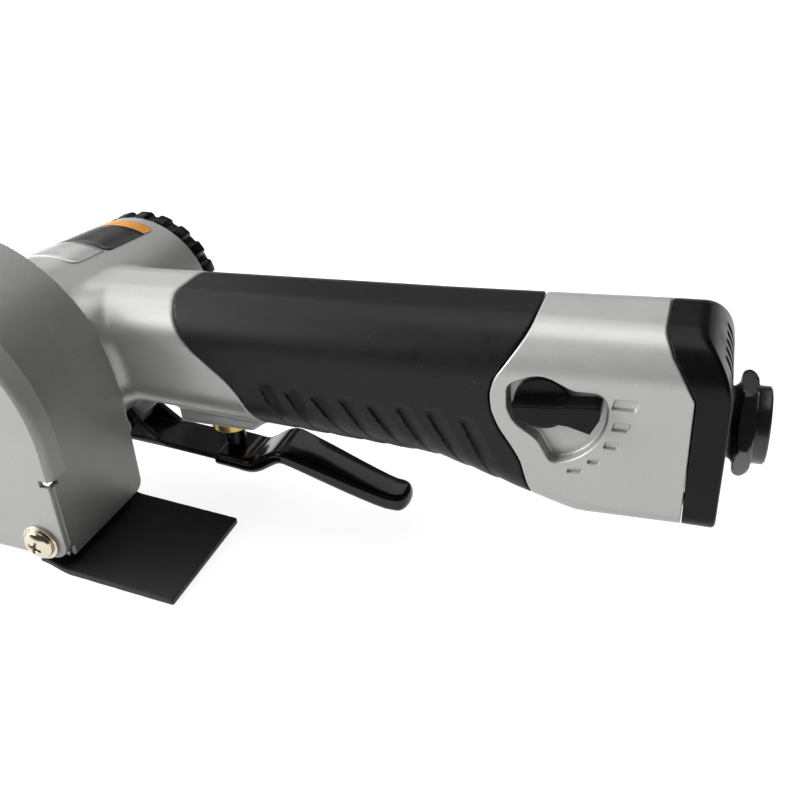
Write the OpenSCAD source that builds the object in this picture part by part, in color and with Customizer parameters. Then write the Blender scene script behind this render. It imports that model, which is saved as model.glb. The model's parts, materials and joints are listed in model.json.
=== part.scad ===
// Air belt sander with a transverse air motor, a guarded belt drive and a straight rear handle.
// X runs from the nose to the air inlet, Y from the belt side to the motor end, Z up.
// The origin is the middle of the sanding face, under the belt's flat run.

/* [Belt and rollers] */
// Width of the abrasive belt
belt_w = 25; // [12:1:40]
// Thickness of the abrasive belt
belt_t = 0.8; // [0.5:0.1:1.5]
// Distance between the axes of the two lower rollers
run_l = 95; // [80:1:130]
// Radius of the drive pulley on the motor shaft
drive_r = 16; // [12:0.5:20]
// Radius of the rear lower roller
rear_r = 9; // [7:0.5:12]
// Radius of the nose roller
nose_r = 14; // [10:0.5:18]
// How far the nose roller slides back to free the belt
slack_travel = 8; // [5:0.5:12]

/* [Guard] */
// Outside width of the belt guard
guard_w = 33.2; // [30:0.2:48]
// Radius of the guard's arched rear corner
guard_r = 41.5; // [36:0.5:50]
// Height of the straight rear wall below the arch
guard_wall_h = 32.3; // [26:0.1:40]
// Thickness of the guard's sheet metal
guard_t = 1.4; // [1:0.1:2]
// Height of the guard's lower edge over the sanding face
guard_z = 7; // [5:0.5:10]
// Distance from the sanding face's middle to the guard's rear wall
guard_rear_x = 92; // [85:0.5:110]
// Distance from the sanding face's middle forward to the guard's mouth
guard_mouth = 12; // [0:1:25]
// Slope of the guard's roof towards the nose
roof_slope = 28; // [20:1:35]
// Length of the rubber flap behind the guard
flap_l = 30; // [20:1:45]
// Thickness of the rubber flap
flap_t = 1.8; // [1:0.1:3]

/* [Motor] */
// Radius of the motor barrel at its end ring
barrel_r = 22.6; // [21.6:0.1:28]
// How much wider the barrel's radius is at the guard
barrel_flare = 4.4; // [0:0.1:6]
// Length of the motor barrel
barrel_l = 57.5; // [50:0.5:70]
// Distance from the guard's rear wall to the motor axis
motor_back = 28; // [24:0.5:34]
// Height of the motor axis over the guard's lower edge
motor_h = 35.3; // [30:0.1:42]
// Radius of the motor shaft
shaft_r = 4; // [3:0.5:5]
// Bore radius of the motor barrel
bore_r = 19; // [17:0.5:23]
// Number of knobs round the end ring
ring_knobs = 20; // [12:1:30]

/* [Handle] */
// Upward tilt of the handle towards the inlet
handle_tilt = 3; // [0:0.5:8]
// Width of the handle
handle_w = 34; // [30:1:40]
// Height of the handle's top over its end datum
handle_top = 44; // [41:0.5:48]
// How much lower the handle's top is at the grip's front
handle_fall = 1.6; // [0:0.1:3]
// Distance from the guard's rear wall to the end of the casting
handle_l = 145.6; // [130:0.2:170]
// Height of the handle's end datum over the guard's lower edge
handle_rise = 23.2; // [15:0.1:30]
// Thickness of the rubber grip
grip_t = 3.4; // [2:0.1:5]
// Thickness of the rear cap
cap_t = 7.3; // [5:0.1:12]

/* [Inlet and valves] */
// Size across the flats of the inlet hexagon
hex_af = 21; // [18.5:0.5:26]
// Radius of the inlet's pipe thread hole
thread_r = 5.6; // [5:0.1:8]
// Depth of the inlet's pipe thread hole
thread_l = 12; // [10:0.5:16]
// Radius of the throttle valve's pin
pin_r = 2.8; // [2:0.1:4]
// Turning range of the throttle lever
lever_angle = 10; // [6:1:14]
// Radius of the regulator's pocket
pocket_r = 14.5; // [12:0.1:17]

/* [Hidden] */
$fn = 96;

eps = 0.01;
run_gap = 0.05; // radial clearance of a running fit
fit_gap = 0.02; // clearance of a still fit
near_y = -guard_w / 2 + 0.8; // outside of the guard cover
far_y = near_y + guard_w; // face where the motor meets the back plate
plate_t = 4;
plate_y = far_y - plate_t; // inner face of the back plate
roller_w = belt_w + 0.4;
platen_x0 = -24;

drive_x = guard_rear_x - motor_back;
drive_z = guard_z + motor_h;
rear_x = run_l / 2;
rear_z = belt_t + run_gap + rear_r;
nose_x = -run_l / 2;
nose_z = belt_t + run_gap + nose_r;
arch_x = guard_rear_x - guard_r;
arch_z = guard_z + guard_wall_h;

ring_y = far_y + barrel_l;
ring_l = 7;
ring_r = barrel_r - 0.6;
bearing_r = 9.5;
bearing_w = 6;
liner_y = far_y + 12;
liner_l = barrel_l - 22;
rotor_r = 14.2;
liner_in_r = 15.6;

end_x = guard_rear_x + handle_l;
end_z = guard_z + handle_rise;
handle_y = far_y + 0.2 + handle_w / 2;
inlet_b = 18.2;
tunnel_b = 26.2; // height of the air tunnel through the grip
front_a = -handle_l; // the handle's front end, along it
valve_a = front_a + 22.1;
pivot_a = front_a - 11.4;
pivot_b = -2;
pad_b = 4.5; // underside of the valve boss
bush_b = -1.8; // underside of the brass bushing
pin_b = -7.8; // lower end of the valve pin
lever_w = 12.4;
lever_t = 1.8;
dip_t = 1.1;
reg_a = -32.1;
reg_b = 26.6;
reg_in_r = 7.35;
pocket_d = 3;
roof_x = arch_x - guard_r * sin(roof_slope);
roof_z = arch_z + guard_r * cos(roof_slope);
post_r = 3.6;
upper_post_x = 2;
roof_over = roof_z - (roof_x - upper_post_x) * tan(roof_slope) - guard_t / cos(roof_slope);
belt_under = belt_top(upper_post_x);
posts = [[guard_rear_x - 7.2, guard_z + 5],
    [upper_post_x, belt_under + 0.468 * (roof_over - belt_under)], [14, 29]];

silver = [0.72, 0.72, 0.72];
grey = [0.55, 0.56, 0.57];
steel = [0.75, 0.76, 0.78];
black = [0.08, 0.08, 0.08];
rubber = [0.12, 0.12, 0.12];
brass = [0.72, 0.6, 0.28];

// Helpers

// Extrudes an outline drawn in X and Z from one Y to another.
module across(y0, y1) {
    translate([0, y1, 0]) rotate([90, 0, 0]) linear_extrude(y1 - y0) children();
}

// A cylinder along Y.
module pin_y(x, z, r, y0, y1) {
    translate([x, y0, z]) rotate([-90, 0, 0]) cylinder(r = r, h = y1 - y0);
}

// A cone along Y.
module cone_y(x, z, r0, r1, y0, y1) {
    translate([x, y0, z]) rotate([-90, 0, 0]) cylinder(r1 = r0, r2 = r1, h = y1 - y0);
}

// A cylinder along X.
module pin_x(y, z, r, x0, x1) {
    translate([x0, y, z]) rotate([0, 90, 0]) cylinder(r = r, h = x1 - x0);
}

// Places children in the handle's own frame: X along it from its rear end, Z up, Y from its middle.
module in_handle() {
    translate([end_x, handle_y, end_z]) rotate([0, -handle_tilt, 0]) children();
}

// A box given by its corners.
module block(p, q) {
    translate(p) cube(q - p);
}

// The two points where an outside tangent touches circle i and circle j.
function tangent(ci, ri, cj, rj) =
    let (d = cj - ci, n = atan2(d[1], d[0]) - acos((ri - rj) / norm(d)), u = [cos(n), sin(n)])
    [ci + ri * u, cj + rj * u];

// Height of the belt's upper run at x.
function belt_top(x) =
    let (t = tangent([drive_x, drive_z], drive_r + belt_t, [nose_x, nose_z], nose_r + belt_t))
    t[0][1] + (x - t[0][0]) * (t[1][1] - t[0][1]) / (t[1][0] - t[0][0]);

// A loop of belt round the three rollers, grown by g.
module belt_outline(g) {
    c = [[drive_x, drive_z], [nose_x, nose_z], [rear_x, rear_z]];
    r = [drive_r + g, nose_r + g, rear_r + g];
    polygon([for (i = [0:2]) each tangent(c[i], r[i], c[(i + 1) % 3], r[(i + 1) % 3])]);
    for (i = [0:2]) translate(c[i]) circle(r = r[i]);
}

// The guard's side outline, drawn in by d at the roof and the rear wall.
module guard_outline(d) {
    r = guard_r - d;
    n = 90 + roof_slope;
    t = [arch_x + r * cos(n), arch_z + r * sin(n)];
    mouth_z = t[1] - (t[0] + guard_mouth) * tan(roof_slope);
    polygon([[-guard_mouth, guard_z], [guard_rear_x - d, guard_z], [guard_rear_x - d, arch_z],
        [arch_x, arch_z], t, [-guard_mouth, mouth_z]]);
    intersection() {
        translate([arch_x, arch_z]) circle(r = r);
        translate([arch_x - r, arch_z]) square([2 * r, r]);
    }
}

// A spring of n curls along Z, one tube of wire w on radius r and length h.
module coil(r, w, h, n) {
    rings = 8 * n;
    wire = 6;
    centre = [for (i = [0:rings]) let (a = 45 * i) [r * cos(a), r * sin(a), h * i / rings]];
    pts = [for (i = [0:rings]) for (k = [0:wire - 1])
        let (a = 45 * i, q = 60 * k)
        centre[i] + w / 2 * cos(q) * [cos(a), sin(a), 0] + [0, 0, w / 2 * sin(q)]];
    side = [for (i = [0:rings - 1]) for (k = [0:wire - 1])
        let (a = i * wire + k, b = i * wire + (k + 1) % wire)
        each [[a, b, b + wire], [a, b + wire, a + wire]]];
    last = rings * wire;
    caps = [for (k = [1:wire - 2]) each [[0, k + 1, k], [last, last + k, last + k + 1]]];
    polyhedron(points = pts, faces = concat(side, caps), convexity = 10);
    echo(spring_gap = h / n - w);
}

// Handle and casting

// A rounded outline of half width half, from height b0 to b1.
module rounded(half, b0, b1, low_r, top_r) {
    polygon([[-half, b0 + low_r], [low_r - half, b0], [half - low_r, b0], [half, b0 + low_r],
        [half, b1 - top_r], [half - top_r, b1], [top_r - half, b1], [-half, b1 - top_r]]);
    for (s = [-1, 1]) {
        translate([s * (half - low_r), b0 + low_r]) circle(r = low_r);
        translate([s * (half - top_r), b1 - top_r]) circle(r = top_r);
    }
}

// Height of the handle's top at a.
function top_at(a) = handle_top - handle_fall * min(max((-10 - a) / 115, 0), 1.2);

// One slice across the handle at a, from height b0 up to the top, drawn in by d.
module slice(a, b0, low_r, top_r, d) {
    for (s = [-1, 1]) {
        translate([a, s * (handle_w / 2 - low_r), b0 + low_r]) rotate([0, 90, 0])
            cylinder(r = low_r - d, h = eps, $fn = 32);
        translate([a, s * (handle_w / 2 - top_r), top_at(a) - top_r]) rotate([0, 90, 0])
            cylinder(r = top_r - d, h = eps, $fn = 32);
    }
}

// The rear part of the handle's outer form, from the grip's front to the cap.
module handle_form(d) {
    hull() {
        slice(front_a - 4.4, 8.6, 13, 13, d);
        slice(-58, 4.4, 12, 13, d);
    }
    hull() {
        slice(-58, 4.4, 12, 13, d);
        slice(-24, -3.4, 6, 12, d);
    }
    hull() {
        slice(-24, -3.4, 6, 12, d);
        slice(-eps, -2.2, 5, 11, d);
    }
}

// The rounded root that carries the handle into the motor barrel.
module handle_root() {
    hull() {
        slice(front_a - 19.4, 14, 15, 14, 5);
        slice(front_a - 12.4, 9, 14, 13, 0.6);
        slice(front_a - 4.4, 8.6, 13, 13, 0);
    }
}

// The casting's straight core under the rubber, grown by g.
module grip_core(g) {
    half = handle_w / 2 - grip_t + g;
    translate([front_a + 14.6, 0, 0]) rotate([90, 0, 90]) linear_extrude(handle_l - 42.6)
        rounded(half, 11 - g, handle_top - handle_fall - grip_t + g, 11, 9);
}

// Side outline of the zone that the rubber covers, grown by g.
module grip_zone(g) {
    front = [[16, 60], [16, 42.6], [17, 41.4], [18.3, 39.8], [19.7, 37.5], [21.9, 34.1],
        [25.1, 31], [33.2, 23.6], [36.3, 19.5], [38.3, 12.8], [40.1, 6], [40.1, -12]];
    rear = [[-30, -12], [-33.6, 3], [-36.9, 11.4], [-39.3, 15.6], [-41.8, 19.4], [-43.6, 23.8],
        [-44, 28.4], [-43, 32.4], [-38.8, 38.4], [-36.7, 41.3], [-35.5, 43.3], [-35.5, 60]];
    rotate([90, 0, 0]) translate([0, 0, -30]) linear_extrude(60)
        polygon(concat([for (p = front) p + [front_a - g, 0]], [for (p = rear) p + [g, 0]]));
}

// The regulator's pocket outline: a round seat and a sector for the knob's sweep.
module pocket_outline() {
    translate([-0.3, 0]) circle(r = reg_in_r);
    intersection() {
        translate([0, -0.4]) circle(r = pocket_r);
        polygon([[-5.5, 0.27], [-5.5, 4.65], [30, 4.65], [30, -30], [10.6, -30]]);
    }
}

module reg_frame() {
    translate([reg_a, -handle_w / 2, reg_b]) rotate([90, 0, 0]) children();
}

module handle_casting() color(silver) difference() {
    union() {
        in_handle() {
            difference() {
                handle_form(0);
                grip_zone(0);
            }
            handle_root();
            grip_core(0);
            // valve boss under the front of the grip
            block([valve_a - 9.5, -11, pad_b], [valve_a + 12.5, 11, 15]);
            translate([valve_a + 12.5, 11, pad_b]) rotate([90, 0, 0]) linear_extrude(22)
                polygon([[-eps, 0], [2.8, 2.1], [2.8, 10.5], [-eps, 10.5]]);
            // lug for the lever's pivot
            translate([pivot_a, -4, pivot_b]) rotate([-90, 0, 0]) cylinder(r = 3.5, h = 8);
            block([pivot_a - 3.5, -4, pivot_b], [pivot_a + 3.5, 4, 16]);
        }
        difference() {
            cone_y(drive_x, drive_z, barrel_r + barrel_flare, barrel_r, far_y, ring_y);
            // room for the lever's ears and the ends of its pin
            in_handle() translate([pivot_a, -8.4, pivot_b]) rotate([-90, 0, 0]) cylinder(r = 5.4, h = 16.8);
        }
    }
    // motor bore and shaft hole
    pin_y(drive_x, drive_z, bore_r, far_y + 4, ring_y + 1);
    pin_y(drive_x, drive_z, 7, far_y - 1, far_y + 5);
    for (a = [45:90:315])
        pin_y(drive_x + 13.5 * cos(a), drive_z + 13.5 * sin(a), 1.7, far_y - 1, far_y + 5);
    in_handle() {
        // inlet seat and air tunnel to the throttle valve
        pin_x(0, inlet_b, 9 + fit_gap, -12.5, 1);
        block([-20, -4, inlet_b - 4], [-12.4, 4, tunnel_b + 3.4]);
        pin_x(0, tunnel_b, 3.8, valve_a, -14);
        // valve bore, and the way on to the motor
        translate([valve_a, 0, pad_b - 1]) cylinder(r = 5 + fit_gap, h = 13);
        translate([valve_a, 0, pad_b]) cylinder(r = 4.6, h = 25.5);
        pin_x(0, 13, 2.6, valve_a - 22.5, valve_a);
        pin_x(0, 18, 3.6, pivot_a - 1, valve_a - 18.5);
        // exhaust way back to the felt chamber
        pin_x(0, 35.2, 3.6, pivot_a - 1, -13);
        block([-14, -10, 31.2], [1, 10, 39.5]);
        // lever pivot
        translate([pivot_a, -5, pivot_b]) rotate([-90, 0, 0]) cylinder(r = 2 + fit_gap, h = 10);
        // regulator bore and pocket
        reg_frame() {
            translate([0, 0, -pocket_d]) linear_extrude(pocket_d + 5) pocket_outline();
            translate([0, 0, -28]) cylinder(r = 6 + run_gap, h = 26);
            // shallow bars that grow with the flow
            for (i = [0:4]) let (a = 9 - 18 * i, w = 5.2 - 0.4 * i, h = 2.8 - 0.42 * i)
                translate([(pocket_r + 3.5) * cos(a) - w / 2, (pocket_r + 3.5) * sin(a) - h / 2, -0.6])
                    cube([w, h, 3]);
        }
        // cap screw holes
        for (s = [-1, 1]) pin_x(s * 12, 3.5, 1.5, -12, 1);
        // seat of the rear cap's upper part
        rotate([90, 0, 0]) translate([0, 0, -30]) linear_extrude(60)
            polygon(concat(cap_front, [[5, 48], [5, 31.8]]));
    }
}

groove_step = (handle_l - 93.7) / 7;

module rubber_grip() color(rubber) in_handle() difference() {
    intersection() {
        handle_form(0);
        grip_zone(-0.1);
    }
    grip_core(fit_gap);
    // slanted grooves along both lower sides, each in two straight cuts
    for (i = [0:7]) for (s = [-1, 1])
        translate([front_a + 42.3 + groove_step * i, s * (handle_w / 2 + 0.2), 23 - 0.2 * i]) rotate([0, -24, 0]) {
            rotate([s * 10, 0, 0]) translate([-0.7, -1.2, -9]) cube([1.4, 2.4, 9]);
            translate([0, -s * 1.5, -8]) rotate([s * 38, 0, 0]) translate([-0.7, -1.2, -7]) cube([1.4, 2.4, 7]);
        }
}

// Side outline of the joint between casting and cap, which runs forward near the top.
cap_front = [[0, 31.8], [-1.9, 35.4], [-3.7, 38.2], [-5.2, 40.1], [-6.2, 41.9], [-7.4, 43.6], [-8, 48]];

module rear_cap() color(black) in_handle() difference() {
    intersection() {
        translate([-9, 0, 0]) rotate([90, 0, 90]) linear_extrude(cap_t + 9)
            rounded(handle_w / 2, -2.2, handle_top, 5, 11);
        rotate([90, 0, 0]) translate([0, 0, -30]) linear_extrude(60) intersection() {
            polygon(concat([[fit_gap, -10]], [for (p = cap_front) p + [fit_gap, 0]], [[cap_t + 5, 48], [cap_t + 5, -10]]));
            union() {
                translate([-20, -10]) square([20 + cap_t, 40]);
                translate([cap_t - 17, 30]) circle(r = 17);
            }
        }
    }
    pin_x(0, inlet_b, 9 + fit_gap, -1, cap_t + 1);
    for (s = [-1, 1]) {
        pin_x(s * 12, 3.5, 1.8, -1, cap_t + 1);
        pin_x(s * 12, 3.5, 3.2, cap_t - 2.6, cap_t + 1);
    }
    // exhaust slots
    for (y = [-8, -4, 0, 4, 8]) block([-9, y - 1, 33], [cap_t + 1, y + 1, 38.5]);
}

module cap_screws() color(steel) in_handle() for (s = [-1, 1]) {
    pin_x(s * 12, 3.5, 1.48, -11, cap_t - 2);
    difference() {
        pin_x(s * 12, 3.5, 3, cap_t - 2.58, cap_t - 0.2);
        translate([cap_t - 1.6, s * 12, 3.5]) rotate([0, 90, 0]) cylinder(r = 1.5, h = 4, $fn = 6);
    }
}

module inlet_bushing() color(black) in_handle() difference() {
    union() {
        pin_x(0, inlet_b, 9, -12.4, 9.6);
        translate([9.4, 0, inlet_b]) rotate([30, 0, 0]) rotate([0, 90, 0])
            cylinder(r = hex_af / 2 / cos(30), h = 3.5, $fn = 6);
        pin_x(0, inlet_b, 8.9, 12.8, 16);
    }
    pin_x(0, inlet_b, thread_r, 16 - thread_l, 17);
    pin_x(0, inlet_b, 4.5, -13, 17);
    pin_x(0, inlet_b, 6.4, -13, -8);
}

module inlet_screen() color(steel) in_handle() difference() {
    pin_x(0, inlet_b, 6.35, -12.3, -8.02);
    pin_x(0, inlet_b, 5.2, -13, -8.8);
    for (y = [-3, 0, 3]) for (z = [-3, 0, 3]) pin_x(y, inlet_b + z, 0.9, -10, -7);
}

module exhaust_felt() color([0.75, 0.73, 0.68]) in_handle() block([-13.6, -9.6, 31.3], [-4.6, 9.6, 39.2]);

// Radius of the barrel's cone at y.
function barrel_at(y) = barrel_r + barrel_flare * (ring_y - y) / barrel_l;

// A thin plate bent round the barrel's top, from y0 to y1.
module barrel_plate(y0, y1, t) {
    difference() {
        intersection() {
            cone_y(drive_x, drive_z, barrel_at(y0) + t, barrel_at(y1) + t, y0, y1);
            translate([drive_x - 20, y0 - 1, drive_z]) cube([29, y1 - y0 + 2, 40]);
        }
        cone_y(drive_x, drive_z, barrel_at(y0 - 1) + 0.01, barrel_at(y1 + 1) + 0.01, y0 - 1, y1 + 1);
    }
}

module info_plate() color(black) barrel_plate(far_y + 31, far_y + 45, 0.3);

module info_band() color([0.95, 0.58, 0.2]) barrel_plate(far_y + 45.02, far_y + 49.4, 0.3);

module rating_plate() color([0.78, 0.78, 0.78]) barrel_plate(far_y + 15, far_y + 30.6, 0.2);

// Throttle

module valve_bushing() color(brass) in_handle() translate([valve_a, 0, 0]) difference() {
    union() {
        translate([0, 0, bush_b]) cylinder(r = 6.1, h = pad_b - bush_b - fit_gap);
        translate([0, 0, bush_b]) cylinder(r = 5, h = 16.4 - bush_b);
    }
    translate([0, 0, bush_b - 1]) cylinder(r = pin_r + run_gap, h = 9);
    translate([0, 0, bush_b + 6]) cylinder(r = 3.4, h = 14);
    pin_x(0, 13, 2.2, -6, 0);
}

module valve_stem() color(black) in_handle() translate([valve_a, 0, 0]) {
    rotate_extrude() {
        polygon([[0, pin_b], [pin_r - 0.9, pin_b], [pin_r - 0.26, pin_b + 0.26], [pin_r, pin_b + 0.9],
            [pin_r, 3.6], [1.4, 3.6], [1.4, 19.5], [0, 19.5]]);
    }
}

module valve_seal() color(rubber) in_handle() translate([valve_a, 0, 16.5]) difference() {
    cylinder(r = 4.3, h = 2.6);
    translate([0, 0, -1]) cylinder(r = 1.42, h = 5);
}

module valve_spring() color(steel) in_handle() translate([valve_a, 0, 19.6]) coil(3.2, 0.8, 9.9, 4);

module lever_pin() color(steel) in_handle() translate([pivot_a, -7.6, pivot_b]) rotate([-90, 0, 0]) {
    cylinder(r = 2, h = 15.2);
    cylinder(r = 3.2, h = 0.9);
    translate([0, 0, 14.3]) cylinder(r = 3.2, h = 0.9);
}

// Middle line of the lever's bent sheet, from the pivot to the paddle's tip.
lever_line = [for (p = [[-34.5, -6.8], [-20.5, -7.9], [2, -10.4], [6.1, -11.2], [8.9, -10.6],
    [14.5, -6.9], [16.9, -6.2], [19.3, -6.8], [45, -17.6], [54.5, -18.4]]) p + [valve_a, 0]];

// A band t thick along the line p.
module band(p, t) {
    n = len(p);
    normals = [for (i = [0:n - 1]) let (d = p[min(i + 1, n - 1)] - p[max(i - 1, 0)]) [-d[1], d[0]] / norm(d)];
    polygon(concat([for (i = [0:n - 1]) p[i] + normals[i] * t / 2],
        [for (i = [n - 1:-1:0]) p[i] - normals[i] * t / 2]));
}

// Plan of the lever: straight sides that narrow to a round tip, grown by g.
module lever_plan(a0, g) {
    tip = valve_a + 48.5;
    wide = valve_a + 17.5;
    tip_r = 3.9;
    polygon([[a0, -lever_w / 2 - g], [wide, -lever_w / 2 - g], [tip, -tip_r - g],
        [tip, tip_r + g], [wide, lever_w / 2 + g], [a0, lever_w / 2 + g]]);
    translate([tip, 0]) circle(r = tip_r + g);
}

module lever_sheet(t) {
    rotate([90, 0, 0]) translate([0, 0, -10]) linear_extrude(20) band(lever_line, t);
}

module throttle_lever() color(steel) in_handle() {
    difference() {
        union() {
            intersection() {
                lever_sheet(lever_t);
                translate([0, 0, -30]) linear_extrude(40) lever_plan(pivot_a - 1, 0);
            }
            // ears at the pivot
            for (s = [-1, 1]) translate([0, s > 0 ? lever_w / 2 : -lever_w / 2 + 1.8, 0])
                rotate([90, 0, 0]) linear_extrude(1.8) {
                    translate([pivot_a, pivot_b]) circle(r = 4.6);
                    polygon([[pivot_a - 4.6, pivot_b], [pivot_a + 4.4, pivot_b + 1.4],
                        [pivot_a + 13, -7.8], [pivot_a - 1, -6.8], [pivot_a - 3, -5.2]]);
                }
        }
        translate([pivot_a, -10, pivot_b]) rotate([-90, 0, 0]) cylinder(r = 2 + run_gap, h = 20);
    }
}

module lever_sleeve() color(black) in_handle() difference() {
    intersection() {
        lever_sheet(lever_t + 2 * dip_t);
        translate([0, 0, -30]) linear_extrude(40) lever_plan(valve_a - 7.5, dip_t);
    }
    intersection() {
        lever_sheet(lever_t);
        translate([0, 0, -30]) linear_extrude(40) lever_plan(pivot_a - 1, 0);
    }
}

// Regulator

module regulator_drum() color(brass) in_handle() difference() {
    reg_frame() translate([0, 0, -27]) cylinder(r = 6, h = 24.2);
    pin_x(0, tunnel_b, 3.8, reg_a - 8, reg_a + 8);
    reg_frame() translate([0, 0, -10]) cylinder(r = 1.45, h = 8);
}

module regulator_knob() color(black) in_handle() reg_frame() difference() {
    union() {
        translate([-0.5, 0, -pocket_d + 0.2]) cylinder(r = reg_in_r - 1.2, h = 1.5);
        translate([0, 0, -pocket_d + 0.2]) linear_extrude(5.3) scale((pocket_r - 0.9) / 13.6)
            polygon([[-6.3, 1.3], [-5.9, -3], [-3.4, -3.2], [-1.5, -3.9], [1.3, -3.6], [3.6, -2.7], [6.4, -2.9],
                [11.2, -4.3], [13.1, -0.6], [13.2, 3.3], [12.2, 3.8], [5.8, 2.9], [3.4, 1.9], [-0.4, 1.7], [-4.2, 2]]);
    }
    translate([0, 0, -5]) cylinder(r = 1.5, h = 6);
}

// The stud moulded into the knob's back, which screws into the drum.
module knob_screw() color(steel) in_handle() reg_frame() translate([0, 0, -9.5]) cylinder(r = 1.43, h = 10.4);

// Motor

module cylinder_liner() color(steel) difference() {
    pin_y(drive_x, drive_z, bore_r - fit_gap, liner_y, liner_y + liner_l);
    pin_y(drive_x + 1.2, drive_z, liner_in_r, liner_y - 1, liner_y + liner_l + 1);
    // inlet and exhaust ports towards the handle
    for (i = [0:3]) {
        y = handle_y - 6 + 4 * i;
        pin_x(y, drive_z - 3, 1.4, drive_x, drive_x + 25);
        pin_x(y, drive_z + 12, 1.4, drive_x, drive_x + 25);
    }
}

// An end plate of the motor with a seat for its bearing, from y0, seat on the low-y side.
module end_plate(y0, y1, seat0, seat1) {
    difference() {
        pin_y(drive_x, drive_z, bore_r - fit_gap, y0, y1);
        pin_y(drive_x, drive_z, bearing_r + fit_gap, seat0, seat1);
        pin_y(drive_x, drive_z, shaft_r + 0.4, y0 - 1, y1 + 1);
    }
}

module front_end_plate() color(steel)
    end_plate(far_y + 4.02, liner_y - fit_gap, far_y + 3, far_y + 4.02 + bearing_w);

module rear_end_plate() color(steel)
    end_plate(liner_y + liner_l + fit_gap, ring_y - 2, ring_y - 2 - bearing_w, ring_y);

module bearing(y0) {
    difference() {
        pin_y(drive_x, drive_z, bearing_r, y0, y0 + bearing_w);
        pin_y(drive_x, drive_z, shaft_r + run_gap, y0 - 1, y0 + bearing_w + 1);
        for (y = [y0 - 0.5, y0 + bearing_w - 0.5]) difference() {
            pin_y(drive_x, drive_z, bearing_r - 1.6, y, y + 1);
            pin_y(drive_x, drive_z, shaft_r + 1.4, y - 1, y + 2);
        }
    }
}

module front_bearing() color(steel) bearing(far_y + 4.02);

module rear_bearing() color(steel) bearing(ring_y - 2 - bearing_w);

module motor_rotor() color(steel) difference() {
    union() {
        pin_y(drive_x, drive_z, rotor_r, liner_y + 0.3, liner_y + liner_l - 0.3);
        pin_y(drive_x, drive_z, shaft_r, 0.4 - roller_w / 2, ring_y - 1.4);
    }
    for (a = [0:72:288]) translate([drive_x, liner_y - 1, drive_z]) rotate([0, a, 0])
        translate([8, 0, -0.8]) cube([8, liner_l + 2, 1.6]);
}

module rotor_vanes() color([0.35, 0.25, 0.16]) for (a = [0:72:288])
    translate([drive_x, liner_y + 0.35, drive_z]) rotate([0, a, 0])
        translate([8.2, 0, -0.75]) cube([rotor_r - 8.25, liner_l - 0.7, 1.5]);

module end_ring() color(black) difference() {
    union() {
        pin_y(drive_x, drive_z, ring_r, ring_y + 0.02, ring_y + ring_l);
        for (i = [0:ring_knobs - 1]) {
            a = 360 * i / ring_knobs;
            translate([drive_x, ring_y + 1, drive_z]) rotate([0, a, 0]) translate([ring_r - 1.5, 0, -2])
                cube([2.4, ring_l - 1.6, 4]);
        }
        pin_y(drive_x, drive_z, bore_r - 0.2, ring_y - 1.98, ring_y + 1);
    }
    pin_y(drive_x, drive_z, bearing_r - 1, ring_y - 3, ring_y + 2.5);
    difference() {
        pin_y(drive_x, drive_z, bore_r - 1, ring_y + ring_l - 1.6, ring_y + ring_l + 1);
        pin_y(drive_x, drive_z, 7, ring_y, ring_y + ring_l + 2);
    }
}

// Belt drive

// A roller along Y with chamfered rims and a bore.
module roller(x, z, r, bore, w) {
    translate([x, w / 2, z]) rotate([90, 0, 0]) rotate_extrude()
        polygon([[bore, 0], [r - 0.8, 0], [r, 0.8], [r, w - 0.8], [r - 0.8, w], [bore, w]]);
}

module drive_pulley() color(black) difference() {
    roller(drive_x, drive_z, drive_r, shaft_r, roller_w);
    pin_y(drive_x, drive_z, drive_r - 3.5, -roller_w / 2 - 1, -roller_w / 2 + 5);
}

module pulley_nut() color(steel) difference() {
    translate([drive_x, -roller_w / 2 + 5 - 3.4, drive_z]) rotate([-90, 0, 0])
        cylinder(r = 7.5, h = 3.38, $fn = 6);
    pin_y(drive_x, drive_z, shaft_r, -30, 10);
}

module back_plate() color(grey) difference() {
    union() {
        across(plate_y, far_y) guard_outline(guard_t + 0.05);
        // arm that reaches towards the nose behind the yoke
        across(plate_y, far_y) polygon([[-guard_mouth - 3, 9], [0, 9], [0, 40], [-guard_mouth - 3, 33]]);
        // ledge over the platen
        across(-10, far_y) polygon([[platen_x0, 5.1], [34, 5.1], [34, 8.6], [platen_x0, 8.6]]);
    }
    pin_y(drive_x, drive_z, 7, plate_y - 1, far_y + 1);
    for (a = [45:90:315]) {
        x = drive_x + 13.5 * cos(a);
        z = drive_z + 13.5 * sin(a);
        pin_y(x, z, 2.1, plate_y - 1, far_y + 1);
        cone_y(x, z, 4.1, 2.1, plate_y - eps, plate_y + 2.2);
    }
    pin_y(rear_x, rear_z, 3 + fit_gap, plate_y - 1, far_y + 1);
    for (p = posts) pin_y(p[0], p[1], 2.1, plate_y - 1, far_y + 1);
    for (x = [4, 26]) pin_y(x, nose_z, 1.8, plate_y - 1, far_y + 1);
}

module mount_screws() color(steel) for (a = [45:90:315]) {
    x = drive_x + 13.5 * cos(a);
    z = drive_z + 13.5 * sin(a);
    difference() {
        union() {
            pin_y(x, z, 1.68, plate_y + 1, far_y + 4);
            cone_y(x, z, 4, 1.68, plate_y + 0.02, plate_y + 2.2);
        }
        translate([x, plate_y - 1, z]) rotate([-90, 0, 0]) cylinder(r = 1.4, h = 2.4, $fn = 6);
    }
}

// Carrier block inside the loop, which guides the yoke's rod.
module belt_carrier() color(silver) difference() {
    translate([-4, -8, nose_z - 6.1]) cube([38, plate_y + 8 - fit_gap, 13]);
    pin_x(0, nose_z, 4 + run_gap, -5, 30);
    for (x = [4, 26]) pin_y(x, nose_z, 1.7, 5.5, plate_y + 1);
    pin_y(posts[2][0], posts[2][1], post_r + 0.3, -30, 30);
}

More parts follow.
